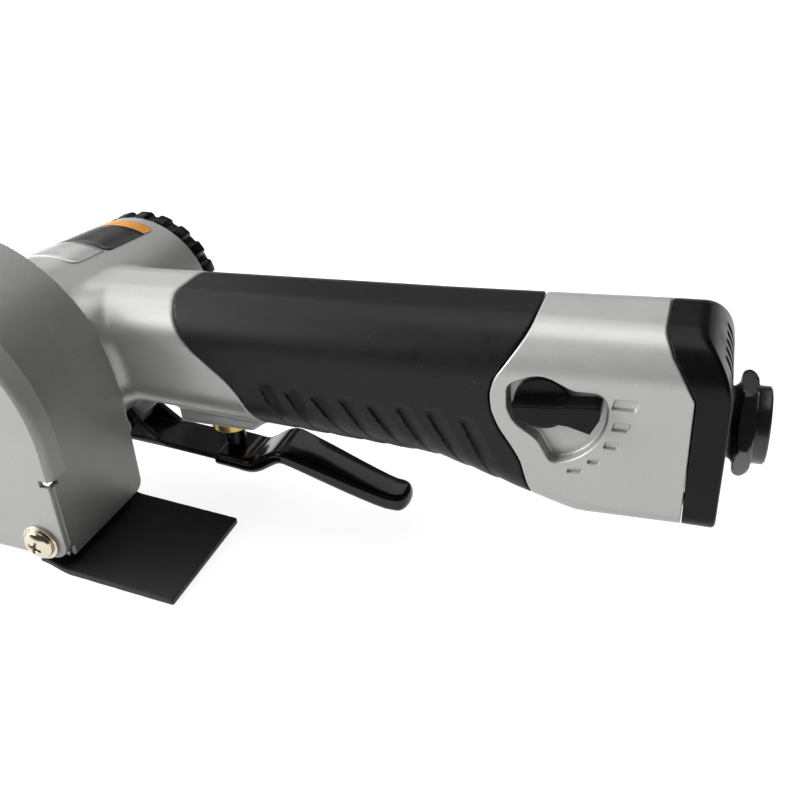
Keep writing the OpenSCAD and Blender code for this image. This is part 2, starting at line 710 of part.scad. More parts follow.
module carrier_screws() color(steel) for (x = [4, 26]) {
    pin_y(x, nose_z, 1.68, 6, far_y + 0.2);
    pin_y(x, nose_z, 3.2, far_y + 0.02, far_y + 2);
}

module rear_axle() color(steel) {
    pin_y(rear_x, rear_z, 3, -roller_w / 2 - 0.3, far_y + 1.2);
    pin_y(rear_x, rear_z, 5, -roller_w / 2 - 1.5, -roller_w / 2 - 0.3);
    pin_y(rear_x, rear_z, 4.6, far_y + 0.02, far_y + 2);
}

module rear_roller() color(steel) roller(rear_x, rear_z, rear_r, 3 + run_gap, roller_w);

arm_y0 = roller_w / 2 + 0.4;
arm_y1 = arm_y0 + 2.6;

module nose_yoke() color(silver) difference() {
    union() {
        translate([nose_x + 17.5, -arm_y1, nose_z - 5]) cube([4, 2 * arm_y1, 10]);
        for (s = [-1, 1]) across(s > 0 ? arm_y0 : -arm_y1, s > 0 ? arm_y1 : -arm_y0) {
            translate([nose_x, nose_z]) circle(r = 6);
            translate([nose_x, nose_z - 5]) square([18, 10]);
        }
        pin_x(0, nose_z, 4, nose_x + 19, 20);
    }
    pin_y(nose_x, nose_z, 3 + fit_gap, -20, 20);
    pin_y(nose_x + 11.5, nose_z, 1.7 + run_gap, arm_y0 - 1, 20);
}

module nose_axle() color(steel) {
    pin_y(nose_x, nose_z, 3, -arm_y1 - 0.8, arm_y1 + 0.8);
    pin_y(nose_x, nose_z, 4.2, -arm_y1 - 1.6, -arm_y1 - 0.02);
    pin_y(nose_x, nose_z, 4.2, arm_y1 + 0.02, arm_y1 + 1.6);
}

module nose_hub() color(steel) roller(nose_x, nose_z, nose_r - 2.5, 3 + run_gap, roller_w);

module nose_tyre() color(rubber) roller(nose_x, nose_z, nose_r, nose_r - 2.5 + fit_gap, roller_w - 0.4);

module tension_spring() color(steel)
    translate([nose_x + 22.6, 0, nose_z]) rotate([0, 90, 0]) coil(5.6, 1.2, -4.8 - nose_x - 22.6, 6);

module tracking_knob() color(black) {
    pin_y(nose_x + 11.5, nose_z, 1.7, arm_y0 + 0.4, arm_y1 + 2);
    difference() {
        pin_y(nose_x + 11.5, nose_z, 5, arm_y1 + 0.3, arm_y1 + 6);
        for (a = [0:30:330]) pin_y(nose_x + 11.5 + 5.4 * cos(a), nose_z + 5.4 * sin(a), 0.8, arm_y1, arm_y1 + 7);
    }
}

module platen() color(steel) difference() {
    block([platen_x0, -belt_w / 2 + 0.5, 2.1], [36, belt_w / 2 - 0.5, 5.08]);
    for (x = [platen_x0, 36]) translate([x, -20, 2.1]) rotate([0, 45, 0]) translate([-1, 0, -1]) cube([2, 40, 2]);
}

module graphite_pad() color([0.2, 0.2, 0.22])
    block([platen_x0 + 1, -belt_w / 2 + 0.5, belt_t + run_gap], [35, belt_w / 2 - 0.5, 2.08]);

module abrasive_belt() color([0.45, 0.2, 0.12]) across(-belt_w / 2, belt_w / 2) difference() {
    belt_outline(run_gap + belt_t);
    belt_outline(run_gap);
}

// Guard

module guard_shell() color(grey) difference() {
    across(near_y + guard_t + 0.02, far_y) difference() {
        guard_outline(0);
        guard_outline(guard_t);
        translate([-guard_mouth - 1, guard_z - 1]) square([guard_rear_x - guard_t + guard_mouth + 1, 2]);
        translate([-guard_mouth - 1, 0]) square([1 + eps, 100]);
    }
    // far lower corner, rounded off
    translate([guard_rear_x - 3, far_y, guard_z]) rotate([45, 0, 0]) cube([6, 3.4, 3.4], center = true);
}

module guard_cover() color(grey) difference() {
    union() {
        across(near_y, near_y + guard_t) intersection() {
            guard_outline(0);
            union() {
                translate([-20, guard_z + 5]) square([guard_rear_x + 30, 100]);
                translate([-20, guard_z]) square([guard_rear_x + 15, 8]);
                translate([guard_rear_x - 5, guard_z + 5]) circle(r = 5);
            }
        }
        // rim that wraps over the shell, down to a notch above the lower corner
        across(near_y, near_y + 6) difference() {
            guard_outline(-1.2);
            guard_outline(-0.02);
            translate([-30, 0]) square([200, arch_z - 7.5]);
            translate([-guard_mouth - 10, 0]) square([10, 100]);
        }
        // the rim's root, which joins it to the cover
        across(near_y, near_y + guard_t) difference() {
            guard_outline(-1.2);
            guard_outline(2);
            translate([-30, 0]) square([200, arch_z - 7.5]);
            translate([-guard_mouth - 10, 0]) square([10, 100]);
        }
    }
    for (p = posts) pin_y(p[0], p[1], 2.2, near_y - 1, near_y + 3);
}

module tie_posts() color(steel) for (p = posts) difference() {
    pin_y(p[0], p[1], post_r, near_y + guard_t + 0.02, plate_y - 0.02);
    pin_y(p[0], p[1], 2, near_y, near_y + 9);
}

module cover_screws() color(steel) for (p = posts) {
    difference() {
        union() {
            pin_y(p[0], p[1], 1.98, near_y - 1, near_y + 8.5);
            pin_y(p[0], p[1], 4.9, near_y - 0.9, near_y - 0.02);
            translate([p[0], near_y - 0.9, p[1]]) rotate([90, 0, 0]) rotate_extrude() intersection() {
                translate([0, -4.6]) circle(r = 7);
                square([4.2, 3]);
            }
        }
        for (a = [20, 110]) translate([p[0], near_y - 2.6, p[1]]) rotate([0, a, 0])
            cube([4.4, 2, 0.8], center = true);
    }
    pin_y(p[0], p[1], 1.98, plate_y + 0.02, far_y + 0.4);
    pin_y(p[0], p[1], 3.4, far_y + 0.02, far_y + 2.2);
}

flap_x = guard_rear_x - 9;
flap_end = guard_rear_x + flap_l;

// Height of the flap's upper face at x: flat under the lip, then a bend down, then a slight fall.
function flap_top(x) =
    let (s = min(max((x - flap_x) / 9, 0), 1))
    guard_z - 0.02 - 2.6 * s * s * (3 - 2 * s) - max(x - guard_rear_x, 0) * 0.045;

module dust_flap() color(rubber) {
    xs = [for (i = [0:9]) flap_x + i, flap_end];
    difference() {
        across(near_y - 0.6, far_y) polygon(concat(
            [for (x = xs) [x, flap_top(x)]],
            [for (i = [len(xs) - 1:-1:0]) [xs[i], flap_top(xs[i]) - flap_t]]));
    }
    block([flap_x - 9, near_y + 5, guard_z - 0.02 - flap_t], [flap_x + eps, far_y - 5, guard_z - 0.02]);
}

// Lip inside the guard and the strip under it, which pinch the flap.
module flap_clamp() color(steel) {
    block([flap_x - 8.6, near_y + 2, guard_z], [guard_rear_x - guard_t - 0.05, plate_y - 0.05, guard_z + 1.3]);
    block([flap_x - 8, near_y + 6, guard_z - flap_t - 1.1], [flap_x - 2, far_y - 6, guard_z - flap_t - 0.04]);
}

handle_casting();
rubber_grip();
rear_cap();
cap_screws();
inlet_bushing();
inlet_screen();
exhaust_felt();
info_plate();
info_band();
rating_plate();
valve_bushing();
valve_stem();
valve_seal();
valve_spring();
lever_pin();
throttle_lever();
lever_sleeve();
regulator_drum();
regulator_knob();
knob_screw();
cylinder_liner();
front_end_plate();
rear_end_plate();
front_bearing();
rear_bearing();
motor_rotor();
rotor_vanes();
end_ring();
drive_pulley();
pulley_nut();
back_plate();
mount_screws();
belt_carrier();
carrier_screws();
rear_axle();
rear_roller();
nose_yoke();
nose_axle();
nose_hub();
nose_tyre();
tension_spring();
tracking_knob();
platen();
graphite_pad();
abrasive_belt();
guard_shell();
guard_cover();
tie_posts();
cover_screws();
dust_flap();
flap_clamp();
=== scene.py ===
import json
import math

import bmesh
import bpy
import numpy as np
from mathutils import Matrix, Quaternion, Vector


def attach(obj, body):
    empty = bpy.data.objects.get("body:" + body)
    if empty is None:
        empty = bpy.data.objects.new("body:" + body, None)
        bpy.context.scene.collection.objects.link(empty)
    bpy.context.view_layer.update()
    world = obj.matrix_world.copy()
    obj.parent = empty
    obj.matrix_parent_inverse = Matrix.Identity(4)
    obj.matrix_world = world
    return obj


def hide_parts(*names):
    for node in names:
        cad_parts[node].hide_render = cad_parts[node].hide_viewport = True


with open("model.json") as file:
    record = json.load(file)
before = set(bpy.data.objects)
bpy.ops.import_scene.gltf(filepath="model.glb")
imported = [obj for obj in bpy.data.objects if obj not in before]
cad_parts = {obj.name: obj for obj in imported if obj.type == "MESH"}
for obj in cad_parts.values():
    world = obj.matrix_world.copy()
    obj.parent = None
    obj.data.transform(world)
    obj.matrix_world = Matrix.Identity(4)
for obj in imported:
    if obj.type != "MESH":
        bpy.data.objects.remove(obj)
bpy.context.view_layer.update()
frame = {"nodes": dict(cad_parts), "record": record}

# Lengths are in millimetres until a mesh is made. "Handle space" is (a, y, b): a along the handle from
# the end of its casting, y across it from its middle, b up from its end datum.

TILT = math.radians(3)
COS, SIN = math.cos(TILT), math.sin(TILT)
END = (237.6, 34.6, 30.2)
DRIVE = (64.0, 42.3)
FAR_Y, RING_Y = 17.4, 74.9
NEAR_Y = -15.8
RING_END_R, FLARE = 22.6, 4.4  # the barrel's radius at its end ring, and how much wider it is at the guard
BARREL_A, BARREL_B = -172.73, 21.17  # the motor's axis in handle space
PIVOT_A, PIVOT_B = -157, -2  # the lever's pin
VALVE_A = -123.5
REGULATOR_A, REGULATOR_B = -32.1, 26.6
INLET_B, TUNNEL_B, EXHAUST_B = 18.2, 26.2, 35.2  # heights of the air ways
CAP_SCREW_Y, CAP_SCREW_B = 12, 3.5
ARCH_X, ARCH_Z, ARCH_R = 50.5, 39.3, 41.5  # the guard's round top
ROOF_ANGLE = 118  # direction of the roof's normal, in degrees
GUARD_REAR, GUARD_LOW, GUARD_FRONT = 92, 7, -12
COARSE = 1.0


def barrel_radius(y):
    """The motor barrel widens from its end ring to the guard."""
    return RING_END_R + FLARE * (RING_Y - y) / (RING_Y - FAR_Y)


def from_handle(p):
    a, y, b = p[:, 0], p[:, 1], p[:, 2]
    return np.stack([END[0] + a * COS - b * SIN, END[1] + y, END[2] + a * SIN + b * COS], 1)


# Signed distances, negative inside

def cut(a, b, r=0.0):
    """Both at once, with the edge between them rounded to r."""
    if r == 0:
        return np.maximum(a, b)
    return np.minimum(np.maximum(a, b), -r) + np.hypot(np.maximum(a + r, 0), np.maximum(b + r, 0))


def join(a, b, r=0.0):
    """Either of them, with a fillet of r in the corner between them."""
    if r == 0:
        return np.minimum(a, b)
    return np.maximum(np.minimum(a, b), r) - np.hypot(np.maximum(r - a, 0), np.maximum(r - b, 0))


def between(v, low, high):
    return np.maximum(low - v, v - high)


def polygon(x, y, points):
    """Signed distance to a closed outline."""
    best = np.full(np.shape(x), 1e9)
    side = np.ones(np.shape(x))
    n = len(points)
    for i in range(n):
        (ax, ay), (bx, by) = points[i], points[(i + 1) % n]
        ex, ey = bx - ax, by - ay
        wx, wy = x - ax, y - ay
        t = np.clip((wx * ex + wy * ey) / (ex * ex + ey * ey), 0, 1)
        best = np.minimum(best, (wx - ex * t) ** 2 + (wy - ey * t) ** 2)
        up, down, left = y >= ay, y < by, ex * wy > ey * wx
        side = np.where((up & down & left) | (~up & ~down & ~left), -side, side)
    return side * np.sqrt(best)


def polyline(x, y, points):
    best = np.full(np.shape(x), 1e9)
    for (ax, ay), (bx, by) in zip(points, points[1:]):
        ex, ey = bx - ax, by - ay
        t = np.clip(((x - ax) * ex + (y - ay) * ey) / (ex * ex + ey * ey), 0, 1)
        best = np.minimum(best, np.hypot(x - ax - ex * t, y - ay - ey * t))
    return best


def eased(points, width):
    """A curve a(b) through the points, with its corners eased over width."""
    b = np.array([p[1] for p in points], float)
    a = np.array([p[0] for p in points], float)
    order = np.argsort(b)
    grid = np.arange(-16, 62, 0.1)
    line = np.interp(grid, b[order], a[order])
    n = int(width / 0.1)
    kernel = np.hanning(n + 2)[1:-1]
    line = np.convolve(np.pad(line, n, mode="edge"), kernel / kernel.sum(), mode="same")[n:-n]
    slope = np.hypot(1, np.gradient(line, 0.1))
    return lambda v: np.interp(v, grid, line), lambda v: np.interp(v, grid, slope)


def surface(f, low, high, pitch):
    """Meshes the zero surface of f in a box, with its points moved onto the surface."""
    low, high = np.array(low, float), np.array(high, float)
    pitch = pitch * COARSE
    n = np.ceil((high - low) / pitch).astype(int) + 1
    axes = [low[i] + pitch * np.arange(n[i]) for i in range(3)]
    value = np.empty(n, np.float32)
    for i in range(0, n[0], 16):
        value[i:i + 16] = f(*np.meshgrid(axes[0][i:i + 16], axes[1], axes[2], indexing="ij"))
    inside = value < 0
    corners = [(i, j, k) for i in (0, 1) for j in (0, 1) for k in (0, 1)]
    count = sum(inside[i:n[0] - 1 + i, j:n[1] - 1 + j, k:n[2] - 1 + k].astype(np.int8) for i, j, k in corners)
    cells = np.stack(np.nonzero((count > 0) & (count < 8)), 1)
    index = np.full(n - 1, -1, np.int64)
    index[tuple(cells.T)] = np.arange(len(cells))
    total, weight = np.zeros((len(cells), 3)), np.zeros(len(cells))
    for p in corners:
        for axis in range(3):
            if p[axis]:
                continue
            q = list(p)
            q[axis] = 1
            va = value[tuple((cells + p).T)]
            vb = value[tuple((cells + q).T)]
            hit = (va < 0) != (vb < 0)
            t = va[hit] / (va[hit] - vb[hit])
            point = np.tile(np.array(p, float), (len(t), 1))
            point[:, axis] = t
            total[hit] += point
            weight[hit] += 1
    points = low + pitch * (cells + total / weight[:, None])
    faces = []
    for axis in range(3):
        u, v = (axis + 1) % 3, (axis + 2) % 3
        first = [slice(None)] * 3
        second = [slice(None)] * 3
        first[axis], second[axis] = slice(0, -1), slice(1, None)
        a, b = inside[tuple(first)], inside[tuple(second)]
        where = np.stack(np.nonzero(a != b), 1)
        keep = (where[:, u] > 0) & (where[:, v] > 0) & (where[:, u] < n[u] - 1) & (where[:, v] < n[v] - 1)
        where = where[keep]
        out = a[tuple(where.T)]
        quad = []
        for du, dv in ((-1, -1), (0, -1), (0, 0), (-1, 0)):
            c = where.copy()
            c[:, u] += du
            c[:, v] += dv
            quad.append(index[tuple(c.T)])
        quad = np.stack(quad, 1)
        quad[~out] = quad[~out][:, ::-1]
        faces.append(quad)
    faces = np.concatenate(faces)
    start = points.copy()
    for _ in range(3):
        g = slopes(f, points)
        step = (f(*points.T) / np.maximum((g ** 2).sum(1), 0.05))[:, None] * g
        points = points - np.clip(step, -0.4 * pitch, 0.4 * pitch)
    points = start + np.clip(points - start, -0.7 * pitch, 0.7 * pitch)
    g = slopes(f, points, 0.06)
    return points, faces, g / np.maximum(np.linalg.norm(g, axis=1), 1e-9)[:, None]


def slopes(f, points, e=0.03):
    out = np.empty_like(points)
    for i in range(3):
        d = np.zeros(3)
        d[i] = e
        out[:, i] = (f(*(points + d).T) - f(*(points - d).T)) / (2 * e)
    return out


def new_object(name, points, faces, normals=None, smooth=True):
    mesh = bpy.data.meshes.new(name)
    if isinstance(faces, np.ndarray):
        mesh.vertices.add(len(points))
        mesh.vertices.foreach_set("co", (np.asarray(points) * 0.001).ravel())
        mesh.loops.add(faces.size)
        mesh.loops.foreach_set("vertex_index", faces.ravel())
        mesh.polygons.add(len(faces))
        mesh.polygons.foreach_set("loop_start", np.arange(0, faces.size, faces.shape[1]))
        mesh.update(calc_edges=True)
    else:
        mesh.from_pydata([tuple(0.001 * float(c) for c in p) for p in points], [], faces)
    mesh.validate()
    mesh.polygons.foreach_set("use_smooth", [smooth] * len(mesh.polygons))
    if normals is not None and len(mesh.vertices) == len(normals):
        mesh.normals_split_custom_set_from_vertices([tuple(v) for v in normals])
    mesh.update()
    obj = bpy.data.objects.new(name, mesh)
    bpy.context.scene.collection.objects.link(obj)
    return obj


def finish_piece(obj, material, body, slot, *nodes):
    obj.data.materials.clear()
    obj.data.materials.append(material)
    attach(obj, body)
    if nodes:
        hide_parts(*nodes)
    return obj


def handle_piece(name, f, low, high, pitch):
    points, faces, normals = surface(f, low, high, pitch)
    world = from_handle(points)
    turned = np.stack([normals[:, 0] * COS - normals[:, 2] * SIN, normals[:, 1],
                       normals[:, 0] * SIN + normals[:, 2] * COS], 1)
    return new_object(name, world, faces, turned)


def world_piece(name, f, low, high, pitch):
    return new_object(name, *surface(f, low, high, pitch))


# Materials

def paint(name, color, rough, metal=0.0, blotch=0.05, blotch_scale=55, grain=0.05, grain_scale=2600,
          rough_swing=0.06, bump=0.06, bump_scale=2600, bump_depth=0.00004, round_edges=0.0, coat=0.0,
          coat_rough=0.1, specular=0.5, wear=0.0, wear_color=(0.75, 0.75, 0.74), stretch=(1, 1, 1),
          dust=0.0):
    """A procedural finish: colour blotches, fine grain, uneven gloss, a fine bump and worn edges."""
    m = bpy.data.materials.new(name)
    m.use_nodes = True
    nodes, links = m.node_tree.nodes, m.node_tree.links
    shader = nodes["Principled BSDF"]
    coords = nodes.new("ShaderNodeTexCoord")
    mapping = nodes.new("ShaderNodeMapping")
    mapping.inputs["Scale"].default_value = stretch
    links.new(coords.outputs["Object"], mapping.inputs["Vector"])

    def noise(scale, detail=3.0, plain=False):
        n = nodes.new("ShaderNodeTexNoise")
        n.inputs["Scale"].default_value = scale
        n.inputs["Detail"].default_value = detail
        links.new((coords.outputs["Object"] if plain else mapping.outputs["Vector"]), n.inputs["Vector"])
        return n.outputs["Fac"]

    def spread(value, low, high, start=0.3, stop=0.7):
        n = nodes.new("ShaderNodeMapRange")
        n.inputs["From Min"].default_value = start
        n.inputs["From Max"].default_value = stop
        n.inputs["To Min"].default_value = low
        n.inputs["To Max"].default_value = high
        links.new(value, n.inputs["Value"])
        return n.outputs["Result"]

    def product(a, b):
        n = nodes.new("ShaderNodeMath")
        n.operation = "MULTIPLY"
        links.new(a, n.inputs[0])
        links.new(b, n.inputs[1])
        return n.outputs[0]

    def blend_colors(amount, a, b):
        n = nodes.new("ShaderNodeMix")
        n.data_type = "RGBA"
        links.new(amount, n.inputs[0])
        for socket, value in ((n.inputs[6], a), (n.inputs[7], b)):
            if isinstance(value, tuple):
                socket.default_value = (*value, 1)
            else:
                links.new(value, socket)
        return n.outputs[2]

    shade = product(spread(noise(blotch_scale, plain=True), 1 - blotch, 1 + blotch),
                    spread(noise(grain_scale, 2.0), 1 - grain, 1 + grain))
    scale = nodes.new("ShaderNodeVectorMath")
    scale.operation = "SCALE"
    scale.inputs[0].default_value = color
    links.new(shade, scale.inputs["Scale"])
    base = scale.outputs[0]
    normal = None
    if round_edges > 0:
        bevel = nodes.new("ShaderNodeBevel")
        bevel.samples = 6
        bevel.inputs["Radius"].default_value = round_edges
        normal = bevel.outputs["Normal"]
    if wear > 0:
        soft = nodes.new("ShaderNodeBevel")
        soft.samples = 6
        soft.inputs["Radius"].default_value = 0.0005
        geometry = nodes.new("ShaderNodeNewGeometry")
        dot = nodes.new("ShaderNodeVectorMath")
        dot.operation = "DOT_PRODUCT"
        links.new(soft.outputs["Normal"], dot.inputs[0])
        links.new(geometry.outputs["Normal"], dot.inputs[1])
        edge = spread(dot.outputs["Value"], wear, 0.0, 0.80, 0.97)
        base = blend_colors(product(edge, spread(noise(420, 4.0, True), 0.0, 1.0, 0.42, 0.62)), base,
                            wear_color)
    if dust > 0:
        speck = nodes.new("ShaderNodeTexVoronoi")
        speck.inputs["Scale"].default_value = 260
        links.new(coords.outputs["Object"], speck.inputs["Vector"])
        dots = spread(speck.outputs["Distance"], dust, 0.0, 0.05, 0.09)
        base = blend_colors(product(dots, spread(noise(90, 2.0, True), 0.0, 1.0, 0.55, 0.68)), base,
                            (0.30, 0.30, 0.29))
    links.new(base, shader.inputs["Base Color"])
    links.new(spread(noise(blotch_scale * 4, 4.0, True), max(rough - rough_swing, 0.02), rough + rough_swing),
              shader.inputs["Roughness"])
    node = nodes.new("ShaderNodeBump")
    node.inputs["Strength"].default_value = bump
    node.inputs["Distance"].default_value = bump_depth
    links.new(noise(bump_scale, 3.0), node.inputs["Height"])
    if normal is not None:
        links.new(normal, node.inputs["Normal"])
    links.new(node.outputs["Normal"], shader.inputs["Normal"])
    shader.inputs["Metallic"].default_value = metal
    shader.inputs["Specular IOR Level"].default_value = specular
    shader.inputs["Coat Weight"].default_value = coat
    shader.inputs["Coat Roughness"].default_value = coat_rough
    return m


SILVER = dict(color=(0.55, 0.55, 0.54), rough=0.36, metal=0.35, blotch=0.02, grain=0.05, grain_scale=3400,
              rough_swing=0.03, bump=0.25, bump_scale=3000, bump_depth=0.00002)
MATS = {
    "cast_silver": paint("cast_silver", **SILVER),
    "guard_grey": paint("guard_grey", color=(0.40, 0.40, 0.39), rough=0.42, metal=0.25, blotch=0.03,
                        grain=0.08, grain_scale=2600, bump=0.3, bump_scale=2400, bump_depth=0.00003),
    "back_grey": paint("back_grey", color=(0.40, 0.40, 0.39), rough=0.42, metal=0.25, blotch=0.03, grain=0.08,
                       grain_scale=2600, bump=0.3, bump_scale=2400, bump_depth=0.00003, round_edges=0.0004),
    "cover_grey": paint("cover_grey", color=(0.56, 0.56, 0.545), rough=0.45, metal=0.15, blotch=0.02,
                        grain=0.06, grain_scale=2600, bump=0.3, bump_scale=2400, bump_depth=0.00003),
    "grip_rubber": paint("grip_rubber", color=(0.0066, 0.0064, 0.0062), rough=0.45, blotch=0.10,
                         blotch_scale=70, grain=0.12, grain_scale=1800, bump=0.35, bump_scale=2200,
                         bump_depth=0.00005, dust=0.25, specular=0.26),
    "black_plastic": paint("black_plastic", color=(0.0052, 0.0050, 0.0050), rough=0.31, blotch=0.08,
                           grain=0.10, grain_scale=1500, bump=0.3, bump_scale=1700, bump_depth=0.00005,
                           specular=0.16),
    "black_part": paint("black_part", color=(0.0060, 0.0058, 0.0056), rough=0.34, blotch=0.08, grain=0.10,
                        grain_scale=1500, bump=0.3, bump_scale=1700, bump_depth=0.00005, round_edges=0.0004,
                        specular=0.30),
    "inlet_black": paint("inlet_black", color=(0.018, 0.018, 0.018), rough=0.30, blotch=0.08, grain=0.08,
                         bump=0.2, bump_scale=1300, bump_depth=0.00003, round_edges=0.0003, specular=0.6),
    "gloss_black": paint("gloss_black", color=(0.003, 0.003, 0.0032), rough=0.16, blotch=0.05, grain=0.02,
                         rough_swing=0.03, bump=0.2, bump_scale=160, bump_depth=0.0001, coat=0.2,
                         coat_rough=0.05, specular=0.3),
    "black_steel": paint("black_steel", color=(0.030, 0.030, 0.031), rough=0.21, metal=0.55, blotch=0.06,
                         blotch_scale=110, grain=0.08, rough_swing=0.05, bump=0.1, bump_scale=900,
                         bump_depth=0.00004, wear=0.35, wear_color=(0.40, 0.40, 0.40)),
    "steel": paint("steel", color=(0.55, 0.56, 0.57), rough=0.30, metal=1.0, grain=0.05, bump=0.2,
                   bump_scale=1400, bump_depth=0.00002, stretch=(1, 0.15, 1), round_edges=0.0003),
    "nickel": paint("nickel", color=(0.62, 0.56, 0.45), rough=0.16, metal=1.0, blotch=0.03, grain=0.03,
                    rough_swing=0.04, bump=0.1, bump_scale=700, bump_depth=0.00002),
    "brass": paint("brass", color=(0.56, 0.40, 0.13), rough=0.28, metal=1.0, blotch=0.08, grain=0.06,
                   bump=0.2, bump_scale=1200, bump_depth=0.00002, round_edges=0.0003),
    "plate_silver": paint("plate_silver", color=(0.62, 0.62, 0.61), rough=0.34, metal=0.5, blotch=0.02,
                          grain=0.05, grain_scale=3000, stretch=(1, 0.1, 1)),
    "plate_black": paint("plate_black", color=(0.035, 0.035, 0.036), rough=0.30, blotch=0.05, grain=0.04,
                         bump=0.1),
    "orange_film": paint("orange_film", color=(0.87, 0.36, 0.055), rough=0.32, blotch=0.03, grain=0.03,
                         bump=0.1),
    "aluminium": paint("aluminium", color=(0.60, 0.60, 0.61), rough=0.34, metal=1.0, blotch=0.03, grain=0.05,
                       bump=0.25, bump_scale=1300, bump_depth=0.00002, stretch=(1, 0.15, 1),
                       round_edges=0.0004),
    "flap_rubber": paint("flap_rubber", color=(0.0085, 0.0085, 0.0085), rough=0.60, blotch=0.10, grain=0.12,
                         grain_scale=1700, bump=0.3, bump_scale=1500, bump_depth=0.00005, dust=0.25),
    "tyre_rubber": paint("tyre_rubber", color=(0.045, 0.044, 0.043), rough=0.72, blotch=0.10, grain=0.15,
                         grain_scale=1500, bump=0.5, bump_scale=1300, bump_depth=0.0001),
    "vane_resin": paint("vane_resin", color=(0.20, 0.12, 0.06), rough=0.5, blotch=0.15, grain=0.2, bump=0.3),
    "felt": paint("felt", color=(0.42, 0.40, 0.36), rough=0.95, blotch=0.12, grain=0.25, grain_scale=1200,
                  bump=0.8, bump_scale=1100, bump_depth=0.0003),
    "graphite": paint("graphite", color=(0.045, 0.045, 0.05), rough=0.55, blotch=0.12, grain=0.2, bump=0.5,
                      bump_scale=1000, bump_depth=0.0001),
    "abrasive": paint("abrasive", color=(0.24, 0.085, 0.045), rough=0.85, blotch=0.12, grain=0.45,
                      grain_scale=1900, bump=0.9, bump_scale=1900, bump_depth=0.0003),
}
BY_SLOT = dict(MATS)
BY_SLOT.update(black_plastic=MATS["black_part"], guard_grey=MATS["back_grey"])
for part in frame["record"]["subparts"]:
    node = frame["nodes"][part["node"]]
    for slot in node.material_slots:
        slot.material = BY_SLOT[part["material_slot"]]


# Handle forms

KNOTS = [-165, -150, -58, -24, 0, 20]


def knotted(a, values):
    return (np.interp(a - 2.5, KNOTS, values) + 2 * np.interp(a, KNOTS, values)
            + np.interp(a + 2.5, KNOTS, values)) / 4


def section(a, y, b, half=17.0, inset=0.0):
    """Distance to the handle's rounded outer form, along which the sides stay straight."""
    low = knotted(a, [9.3, 8.6, 4.4, -3.4, -2.2, -1.2]) + inset
    top = 44 - 1.6 * np.clip((-10 - a) / 115, 0, 1.2) - inset
    middle = (low + top) / 2
    r = np.where(b > middle, knotted(a, [13, 13, 13, 12, 11, 11]), knotted(a, [13, 13, 12, 6, 5, 5])) - inset
    qx = np.abs(y) - half + inset + r
    qz = np.abs(b - middle) - (top - low) / 2 + r
    return np.minimum(np.maximum(qx, qz), 0) + np.hypot(np.maximum(qx, 0), np.maximum(qz, 0)) - r


def core(a, y, b, gap=0.0):
    """Straight core under the rubber."""
    low, top = 11 - gap, 39 + gap
    middle = (low + top) / 2
    r = np.where(b > middle, 9.0, 11.0)
    qx = np.abs(y) - 13.6 - gap + r
    qz = np.abs(b - middle) - (top - low) / 2 + r
    return np.minimum(np.maximum(qx, qz), 0) + np.hypot(np.maximum(qx, 0), np.maximum(qz, 0)) - r


front_line, front_slope = eased(
    [(-129.6, 60), (-129.6, 42.6), (-128.6, 41.4), (-127.3, 39.8), (-125.9, 37.5), (-123.7, 34.1),
     (-120.5, 31), (-112.4, 23.6), (-109.3, 19.5), (-107.3, 12.8), (-105.5, 6), (-105.5, -12)], 3.0)
rear_line, rear_slope = eased(
    [(-32, -12), (-34.8, 3), (-36.9, 11.4), (-39.3, 15.6), (-41.8, 19.4), (-43.6, 23.8), (-44, 28.4),
     (-43, 32.4), (-38.8, 38.4), (-36.7, 41.3), (-35.5, 43.3), (-35.5, 60)], 5.0)
cap_line, cap_slope = eased(
    [(0, -12), (0, 31.8), (-1.9, 35.4), (-3.7, 38.2), (-5.2, 40.1), (-6.2, 41.9), (-7.4, 43.6),
     (-8, 48)], 1.0)


def after_front(a, b):
    """Distance behind the rubber's front edge, positive towards the grip's middle."""
    return (a - front_line(b)) / front_slope(b)


def before_rear(a, b):
    return (rear_line(b) - a) / rear_slope(b)


